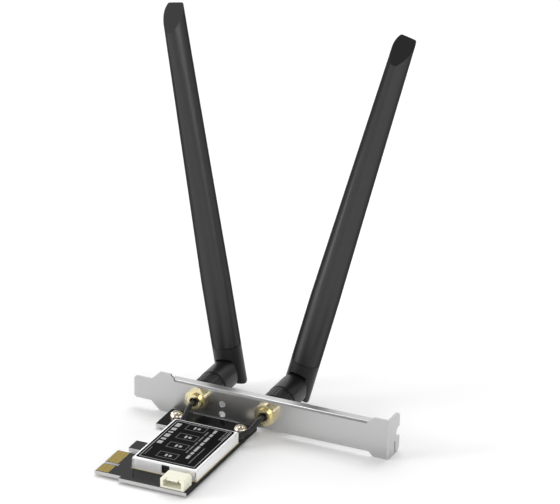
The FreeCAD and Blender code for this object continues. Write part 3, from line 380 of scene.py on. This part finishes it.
def make_hollow_shade_ring(side):
    """A dark flat ring on the floor of a connector's hollow, as painted shade there."""
    low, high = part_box(side + "_jack")
    x, z = (low.x + high.x) / 2, (low.z + high.z) / 2
    section = [(SHADE_RING_INNER, SHADE_RING_START), (SHADE_RING_OUTER, SHADE_RING_START),
               (SHADE_RING_OUTER, SHADE_RING_END), (SHADE_RING_INNER, SHADE_RING_END)]
    vertices, faces = [], []
    for i in range(SHADE_RING_SIDES):
        turn = 2 * math.pi * i / SHADE_RING_SIDES
        vertices += [(x + r * math.cos(turn), low.y + y, z + r * math.sin(turn))
                     for r, y in section]
        here, there = 4 * i, 4 * ((i + 1) % SHADE_RING_SIDES)
        faces += [(here + k, there + k, there + (k + 1) % 4, here + (k + 1) % 4)
                  for k in range(4)]
    obj = new_object(side + "_jack_shade_ring", vertices, faces, materials["sleeve_black"])
    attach(obj, "card")


def make_camera():
    """The photo's camera: azimuth from the front towards the right, roll about the view."""
    a, e, r = CAMERA_AZIMUTH, CAMERA_ELEVATION, CAMERA_ROLL
    ahead = Vector((-math.sin(a) * math.cos(e), math.cos(a) * math.cos(e), -math.sin(e)))
    level = Vector((math.cos(a), math.sin(a), 0))
    rise = level.cross(ahead)
    right = level * math.cos(r) + rise * math.sin(r)
    up = rise * math.cos(r) - level * math.sin(r)
    data = bpy.data.cameras.new("camera")
    data.lens = CAMERA_LENS
    data.sensor_width = SENSOR_WIDTH
    data.clip_end = CAMERA_REACH
    camera = bpy.data.objects.new("camera", data)
    camera.matrix_world = Matrix((
        (right.x, up.x, -ahead.x, CAMERA_PLACE.x),
        (right.y, up.y, -ahead.y, CAMERA_PLACE.y),
        (right.z, up.z, -ahead.z, CAMERA_PLACE.z),
        (0, 0, 0, 1),
    ))
    bpy.context.scene.collection.objects.link(camera)
    bpy.context.scene.camera = camera


def from_angles(azimuth, elevation):
    """The direction at an azimuth, counted from X towards Y, and an elevation, in degrees."""
    a, e = math.radians(azimuth), math.radians(elevation)
    return Vector((math.cos(a) * math.cos(e), math.sin(a) * math.cos(e), math.sin(e)))


def make_lamp(name, azimuth, elevation, width, height, power):
    """A rectangular lamp that faces the part."""
    data = bpy.data.lights.new(name, "AREA")
    data.shape = "RECTANGLE"
    data.size, data.size_y = width, height
    data.energy = power
    light = bpy.data.objects.new(name, data)
    light.location = from_angles(azimuth, elevation) * LAMP_DISTANCE
    light.rotation_mode = "QUATERNION"
    light.rotation_quaternion = (LAMP_TARGET - light.location).to_track_quat("-Z", "Y")
    bpy.context.scene.collection.objects.link(light)


def ray_kinds(tree):
    """1 for the camera's rays, and 1 for those by which metal and glass see what is round them."""
    path = tree.nodes.new("ShaderNodeLightPath")
    glossy, through = path.outputs["Is Glossy Ray"], path.outputs["Is Transmission Ray"]
    return path.outputs["Is Camera Ray"], math_node(tree, "MAXIMUM", glossy, through)


def glow(tree, place, azimuth, elevation, rim, level):
    """A soft bright part of the surroundings, strongest in one direction."""
    facing = tree.nodes.new("ShaderNodeVectorMath")
    facing.operation = "DOT_PRODUCT"
    facing.inputs[1].default_value = from_angles(azimuth, elevation)
    ramp = tree.nodes.new("ShaderNodeMapRange")
    ramp.interpolation_type = "SMOOTHSTEP"
    ramp.inputs["From Min"].default_value = rim
    ramp.inputs["From Max"].default_value = 1.0
    ramp.inputs["To Max"].default_value = level
    tree.links.new(place.outputs["Generated"], facing.inputs[0])
    tree.links.new(facing.outputs["Value"], ramp.inputs["Value"])
    return ramp.outputs["Result"]


def make_world():
    """Soft light from the back and the left, and a pale backdrop for the camera and for metal."""
    world = bpy.data.worlds.new("world")
    world.use_nodes = True
    tree = world.node_tree
    place = tree.nodes.new("ShaderNodeTexCoord")
    light = math_node(tree, "ADD", glow(tree, place, *BACK_GLOW), glow(tree, place, *LEFT_GLOW))
    camera, mirrored = ray_kinds(tree)
    mirrored = math_node(tree, "MULTIPLY", mirrored, glow(tree, place, *BACKDROP_GLOW))
    level = tree.nodes.new("ShaderNodeMix")
    level.inputs["B"].default_value = BACKDROP_LEVEL
    tree.links.new(math_node(tree, "MAXIMUM", camera, mirrored), level.inputs["Factor"])
    tree.links.new(math_node(tree, "ADD", light, AMBIENT_LEVEL), level.inputs["A"])
    background = tree.nodes["Background"]
    background.inputs["Color"].default_value = (1, 1, 1, 1)
    tree.links.new(level.outputs["Result"], background.inputs["Strength"])
    bpy.context.scene.world = world


def make_floor():
    """A white floor just under the part."""
    material, tree, shader = new_material("floor_white", FLOOR_WHITE, roughness=0.9, specular=0.1)
    shader.inputs["Emission Color"].default_value = (1, 1, 1, 1)
    lift = math_node(tree, "MULTIPLY", math_node(tree, "MAXIMUM", *ray_kinds(tree)), FLOOR_LIFT)
    tree.links.new(lift, shader.inputs["Emission Strength"])
    low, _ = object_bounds()
    half, z = FLOOR_SIZE / 2, low.z - FLOOR_DROP
    corners = [(-half, -half, z), (half, -half, z), (half, half, z), (-half, half, z)]
    new_object("floor", corners, [(0, 1, 2, 3)], material)


def make_stage():
    """The floor, the lamps, the surroundings and plain colours."""
    make_floor()
    for name, values in LAMPS.items():
        make_lamp(name, *values)
    make_world()
    bpy.context.scene.view_settings.view_transform = "Standard"
    bpy.context.scene.view_settings.look = "None"


materials = make_materials()
for name, obj in nodes.items():
    finish_node(name, obj)
for name, width in EDGE_ROUNDS.items():
    soften(name, width)
make_label_print()
# dark rings as painted shade in the connectors' hollows
make_hollow_shade_ring("left")
make_hollow_shade_ring("right")
make_camera()
make_stage()
